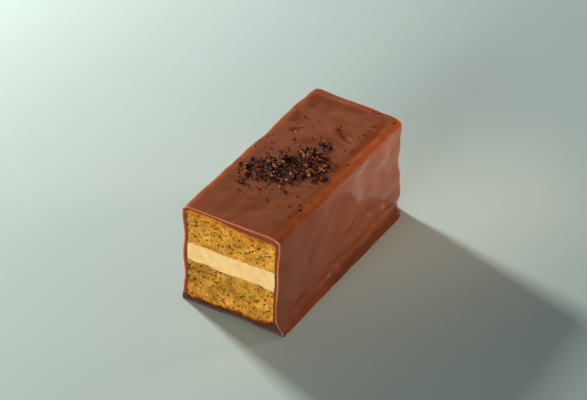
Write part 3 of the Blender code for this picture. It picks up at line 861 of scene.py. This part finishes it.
def drift_sheets(name, layers, deep, alone):
    """Copies of the top, one for each (height, least pile) layer, and how thickly crumbs lie there.

    They lie as thickly as deep in the middle of a drift, and as thickly as alone away from it.
    """
    bm = bmesh.new()
    cover_of = bm.verts.layers.float.new("cover")
    for height, least in layers:
        sheet = bmesh.ops.create_grid(bm, x_segments=52, y_segments=100, size=0.5)["verts"]
        for vert in sheet:
            x, y = vert.co.x * 35 * MM - 1 * MM, vert.co.y * 80 * MM + 2 * MM
            pile = drift_cover(x, y)
            vert[cover_of] = deep * pile + alone * stray(x, y) if pile >= least else 0.0
            vert.co = Vector((x, y, HEIGHT + top_shift(x, y) + height * MM * (0.4 + 0.6 * pile)))
    mesh = mesh_from(name, bm)
    mesh.transform(Matrix.Translation((BLOCK_X, 0, 0)))
    return linked(name, mesh)


# %% The tree that scatters them
def scatter_tree():
    """Geometry Nodes that deal nibs over a sheet, with named inputs for what differs between the kinds."""
    tree = bpy.data.node_groups.new("scatter crumbs", "GeometryNodeTree")
    for label, kind in (
        ("Sheet", "Geometry"), ("Spacing", "Float"), ("Smallest", "Float"), ("Largest", "Float"),
        ("Rarity", "Float"), ("Seed", "Int"), ("Shapes", "Collection"), ("Finish", "Material"),
    ):
        tree.interface.new_socket(label, in_out="INPUT", socket_type="NodeSocket" + kind)
    tree.interface.new_socket("Crumbs", in_out="OUTPUT", socket_type="NodeSocketGeometry")
    given = tree.nodes.new("NodeGroupInput").outputs
    cover = add(tree, "GeometryNodeInputNamedAttribute", {"data_type": "FLOAT"}, Name="cover").outputs["Attribute"]
    points = add(
        tree, "GeometryNodeDistributePointsOnFaces", {"distribute_method": "POISSON"}, Mesh=given["Sheet"],
        Distance_Min=given["Spacing"], Density_Max=4.0e6, Density_Factor=cover, Seed=given["Seed"],
    ).outputs["Points"]
    chance = add(tree, "FunctionNodeRandomValue", {"data_type": "FLOAT"}, Seed=given["Seed"]).outputs[1]
    rare = add(tree, "ShaderNodeMath", {"operation": "POWER"}, _0=chance, _1=given["Rarity"]).outputs[0]
    size = add(
        tree, "ShaderNodeMapRange", Value=rare, To_Min=given["Smallest"], To_Max=given["Largest"]
    ).outputs[0]
    turn = add(tree, "FunctionNodeRandomValue", {"data_type": "FLOAT_VECTOR"}, Seed=given["Seed"])
    turn.inputs[1].default_value = (0.6, 0.6, 2 * math.pi)
    shapes = add(
        tree, "GeometryNodeCollectionInfo", {"transform_space": "ORIGINAL"}, Collection=given["Shapes"],
        Separate_Children=True, Reset_Children=True,
    ).outputs[0]
    placed = add(
        tree, "GeometryNodeInstanceOnPoints", Points=points, Instance=shapes, Pick_Instance=True,
        Rotation=turn.outputs[0], Scale=size,
    ).outputs[0]
    tone = add(tree, "FunctionNodeRandomValue", {"data_type": "FLOAT"}, Seed=91).outputs[1]
    toned = add(
        tree, "GeometryNodeStoreNamedAttribute", {"data_type": "FLOAT", "domain": "INSTANCE"},
        Geometry=placed, Name="shade", Value=tone,
    ).outputs[0]
    solid = add(tree, "GeometryNodeRealizeInstances", Geometry=toned).outputs[0]
    dressed = add(tree, "GeometryNodeSetMaterial", Geometry=solid, Material=given["Finish"]).outputs[0]
    output = tree.nodes.new("NodeGroupOutput")
    tree.links.new(dressed, output.inputs[0])
    return tree


def scatter(name, sheets, tree, **values):
    """Runs the tree over the sheets, and keeps what it makes as a plain mesh."""
    modifier = sheets.modifiers.new("scatter", "NODES")
    modifier.node_group = tree
    for item in tree.interface.items_tree:
        if item.in_out == "INPUT" and item.name in values:
            modifier[item.identifier] = values[item.name]
    graph = bpy.context.evaluated_depsgraph_get()
    mesh = bpy.data.meshes.new_from_object(sheets.evaluated_get(graph))
    sheets.modifiers.clear()
    bpy.data.objects.remove(sheets)
    mesh.name = name
    mesh.calc_loop_triangles()
    print(name, len(mesh.loop_triangles), "triangles")
    return linked(name, mesh)


# %% Scatter three kinds of crumb
# Each kind has its sheets' (height, least pile), its cover deep in a drift and alone, its spacing, its smallest
# and largest size, its rarity and its seed. Lengths are in millimetres
CRUMBS = (
    ("cocoa_nibs", ((0.3, 0.0), (1.15, 0.45)), 0.9, 0.0, 1.12, 0.5, 1.25, 1.6, 3),
    ("cocoa_crumbs", ((0.15, 0.0), (0.6, 0.3), (1.15, 0.7)), 0.30, 0.012, 0.62, 0.22, 0.5, 1.5, 5),
    ("cocoa_specks", ((0.05, 0.0),), 0.15, 0.06, 0.5, 0.08, 0.26, 2.0, 9),
)
crumb_tree = scatter_tree()
large, middling, fine = (
    scatter(
        name, drift_sheets(name + "_sheets", layers, deep, alone), crumb_tree, Spacing=spacing * MM,
        Smallest=smallest * MM, Largest=largest * MM, Rarity=rarity, Seed=seed, Shapes=nibs, Finish=cocoa,
    )
    for name, layers, deep, alone, spacing, smallest, largest, rarity, seed in CRUMBS
)

# %% [markdown]
# Away from the drifts lie some seventy-five single crumbs. They are few enough to be laid one by one where the
# photograph shows them, which keeps the odd gaps and pairs that a random scatter would even out. Each takes
# one of the nib shapes, turned at random and scaled to its own size.

# %% Single crumbs
# Each is its distance from the cut, x and half size, in millimetres
STRAYS = (
    (14.1, 15.4, 0.55), (16.1, 18.0, 0.3), (19.4, 12.1, 0.6), (19.2, 12.9, 0.45), (19.6, 16.6, 0.8),
    (22.1, 14.9, 0.5), (25.7, 17.3, 0.4), (25.9, 11.6, 0.65), (22.4, 8.1, 0.25), (22.4, 5.6, 0.3),
    (24.0, 5.6, 0.3), (22.9, 1.9, 0.4), (25.1, 1.6, 0.35), (24.9, -1.0, 0.5), (27.0, -1.2, 0.65),
    (22.7, -2.4, 0.7), (23.2, -4.1, 0.5), (21.3, -4.7, 0.4), (20.5, -0.7, 0.45), (18.4, 3.3, 0.75),
    (17.2, -5.2, 0.45), (18.5, -8.3, 0.6), (18.0, -11.3, 0.4), (27.3, -13.9, 0.6), (24.3, -16.5, 0.25),
    (32.5, 9.9, 0.35), (33.1, 12.3, 0.3), (33.4, 13.4, 0.35), (41.1, 15.4, 0.4), (46.8, 14.3, 0.7),
    (50.1, 13.4, 0.6), (53.1, 17.2, 0.6), (59.7, 14.5, 0.4), (57.8, 12.3, 0.25), (65.8, 10.7, 0.45),
    (59.5, 9.3, 0.25), (44.9, -17.6, 0.5), (46.8, -11.8, 0.6), (50.1, -13.5, 0.5), (49.9, -17.9, 0.3),
    (53.1, -17.4, 0.5), (54.5, -16.0, 0.25), (56.2, -7.7, 0.7), (54.0, -4.4, 0.7), (54.5, -6.0, 0.5),
    (50.1, -6.6, 0.7), (46.8, -8.0, 0.8), (47.9, -7.3, 0.5), (49.0, -5.5, 0.5), (62.2, -9.9, 0.4),
    (65.0, -8.8, 0.35), (60.0, -14.9, 0.25), (24.6, -10.1, 0.8), (22.4, -10.5, 0.85), (22.8, -9.4, 0.6),
    (22.4, -11.8, 0.5), (71.2, -11.9, 0.75), (71.3, -5.8, 0.5), (70.2, 3.2, 0.5), (72.5, 2.7, 0.55),
    (72.5, 12.9, 0.6), (70.5, 11.9, 0.3), (68.5, -2.7, 0.45), (66.9, -6.0, 0.35), (62.1, -9.7, 0.4),
    (79.1, -14.0, 0.35), (88.3, 8.0, 0.6), (88.2, 9.0, 0.6), (88.4, 10.1, 0.5), (86.4, 18.4, 0.6),
    (86.8, 17.6, 0.4), (62.3, 0.1, 0.4), (75.4, -17.5, 0.3), (60.6, -2.4, 0.3), (80.3, 18.7, 0.35),
)
bm = bmesh.new()
shade_of = bm.verts.layers.float.new("shade")
for number, (from_cut, x, half) in enumerate(STRAYS):
    known = len(bm.verts)
    bm.from_mesh(nibs.objects[number % len(nibs.objects)].data)
    bm.verts.ensure_lookup_table()
    fresh = bm.verts[known:]
    tone = rng.uniform(0.2, 0.8)
    for vert in fresh:
        vert[shade_of] = tone
    y = CUT_Y + from_cut * MM
    spot = Matrix.Translation((x * MM, y, HEIGHT + top_shift(x * MM, y) + 0.35 * half * MM))
    turn = Matrix.Rotation(rng.uniform(0, 2 * math.pi), 4, "Z") @ Matrix.Rotation(rng.uniform(0, 0.5), 4, "X")
    bmesh.ops.transform(bm, matrix=spot @ turn @ Matrix.Scale(half * MM, 4), verts=fresh)
strays = finished("stray_nibs", bm, cocoa, 20)

# %% [markdown]
# A few crumbs are flakes of the bean's shell, and stand out because they are larger, thin and curled. They are
# laid one by one where the photograph shows them. Each starts as a small grid, is bent along its length, gets
# its thickness from solidify, and has its own shade, from tan to nearly black.

# %% Shell flakes
# Each is its distance from the cut, x, height over the top and length in millimetres, half its curl in radians,
# its turn in degrees and its shade
FLAKES = (
    (49.4, 9.9, 1.5, 4.0, 0.9, 62, 0.66),
    (27.6, -11.6, 0.9, 3.0, 0.5, 75, 0.985),
    (42.2, 5.4, 1.8, 1.8, 0.4, 30, 0.96),
    (39.7, -3.0, 2.0, 2.2, 0.3, 10, 0.92),
    (42.7, -10.7, 0.9, 2.6, 0.5, 45, 0.90),
    (38.0, 9.3, 1.5, 2.6, 0.5, -50, 0.88),
    (30.9, -2.2, 1.4, 1.8, 0.4, -30, 0.94),
    (31.4, 3.8, 1.3, 1.5, 0.4, -60, 0.93),
    (47.5, 1.5, 1.6, 1.8, 0.5, -70, 0.95),
    (63.9, -2.8, 0.3, 1.5, 0.5, -20, 0.85),
    (70.8, 2.2, 0.3, 1.3, 0.4, 20, 0.88),
)
bm = bmesh.new()
shade_of = bm.verts.layers.float.new("shade")
for from_cut, x, lift, length, curl, turn, tone in FLAKES:
    y = CUT_Y + from_cut * MM
    sheet = bmesh.ops.create_grid(bm, x_segments=8, y_segments=4, size=0.5)["verts"]
    radius = length * MM / (2 * curl)
    for vert in sheet:
        angle = 2 * curl * vert.co.x
        narrow = 0.45 * length * MM * (1 - 0.7 * (2 * abs(vert.co.x)) ** 2) * vert.co.y
        rough = 0.06 * MM * wobble(vert.co.x * 5, vert.co.y * 5, from_cut, 95)
        vert.co = Vector((radius * math.sin(angle), narrow, radius * (1 - math.cos(angle)) + rough))
        vert[shade_of] = tone
    spot = Matrix.Translation((x * MM, y, HEIGHT + top_shift(x * MM, y) + lift * MM))
    lean = Matrix.Rotation(math.radians(turn), 4, "Z") @ Matrix.Rotation(0.35, 4, "X")
    bmesh.ops.transform(bm, matrix=spot @ lean, verts=sheet)
bmesh.ops.solidify(bm, geom=bm.faces[:], thickness=0.22 * MM)
flakes = finished("cocoa_shell_flakes", bm, cocoa, 40)

# %% Clear the shapes and the tree, which nothing needs any more
for shape in list(nibs.objects):
    bpy.data.objects.remove(shape)
bpy.data.collections.remove(nibs)
bpy.data.node_groups.remove(crumb_tree)

# %% [markdown]
# ## Join the frame
# The slice doesn't move, so it is one body, called root, and every piece rides on it. The solids that the
# pieces stand for are hidden.

# %% Ride and replace
for piece in (coating, upper_sponge, lower_sponge, cream, large, middling, fine, strays, flakes):
    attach(piece, "root")
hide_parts("chocolate_coating")
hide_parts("upper_sponge")
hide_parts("lower_sponge")
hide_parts("coffee_cream")

# %% [markdown]
# ## Floor and light
# The light in the photograph comes low from the left and a little behind, and throws a long shadow to the
# right. A broad soft light in front fills the cut face, a weaker warm one stands on the right, and a large
# faint one behind. A small one near the rear of the right wall gives back the glow that the wall has there.
# Its beam is narrow, so that the floor stays dark, and it is left out of mirror images, where it would show
# as a spot. The sky is brighter near the horizon, because the glossy wall mirrors that part. The floor is
# plain and pale, a touch green as the table was, since the chocolate's right side mirrors it too.

# %% Floor
floor_paint, tree, _ = new_material("pale matt paint")
shader = add(tree, "ShaderNodeBsdfPrincipled", Base_Color=linear("A6BBBB"), Roughness=0.75)
add(tree, "ShaderNodeOutputMaterial", Surface=shader.outputs[0])
bpy.ops.mesh.primitive_plane_add(size=6.0, location=(0, 0, 0))
floor = bpy.context.object
floor.name = "floor"
floor.data.materials.append(floor_paint)


# %% Lights
def softbox(name, at, towards, side, power, code):
    """A square light that faces a point, with its side in metres and its power in watts."""
    lamp = bpy.data.lights.new(name, "AREA")
    lamp.shape, lamp.size, lamp.size_y = "RECTANGLE", side, side
    lamp.energy, lamp.color = power, linear(code)[:3]
    obj = linked(name, lamp)
    obj.location = at
    obj.rotation_euler = (Vector(towards) - Vector(at)).to_track_quat("-Z", "Y").to_euler()
    return obj


softbox("key", (-0.61, 0.19, 0.285), (0, 0, 0.02), 0.09, 8.2, "FFF6EC")
softbox("front fill", (0, -0.966, 0.26), (0, 0, 0.02), 0.35, 8.1, "FFFAF2")
softbox("right fill", (0.93, 0.25, 0.26), (0, 0, 0.02), 0.35, 1.25, "FFDAB8")
softbox("back card", (-0.88, 1.60, 1.12), (0, 0.02, 0.04), 0.50, 0.22, "FFE0DC")
near = softbox("near side", (0.12, 0.16, 0.06), (0.02, 0.028, 0.060), 0.06, 0.082, "FFCAA2")
near.visible_glossy = False
near.visible_camera = False
near.data.spread = math.radians(60)
print("lights", [lamp.name for lamp in bpy.data.lights])

# %% Sky
world = bpy.data.worlds.new("studio")
world.use_nodes = True
background = world.node_tree.nodes["Background"]
background.inputs["Color"].default_value = linear("E6EEF2")
towards = add(world.node_tree, "ShaderNodeTexCoord").outputs["Generated"]
upward = add(world.node_tree, "ShaderNodeSeparateXYZ", Vector=towards).outputs["Z"]
brightness = add(
    world.node_tree, "ShaderNodeMapRange", Value=upward, From_Min=0.02, From_Max=0.40, To_Min=0.30, To_Max=0.07
)
world.node_tree.links.new(brightness.outputs[0], background.inputs["Strength"])
bpy.context.scene.world = world
bpy.context.scene.view_settings.view_transform = "Standard"
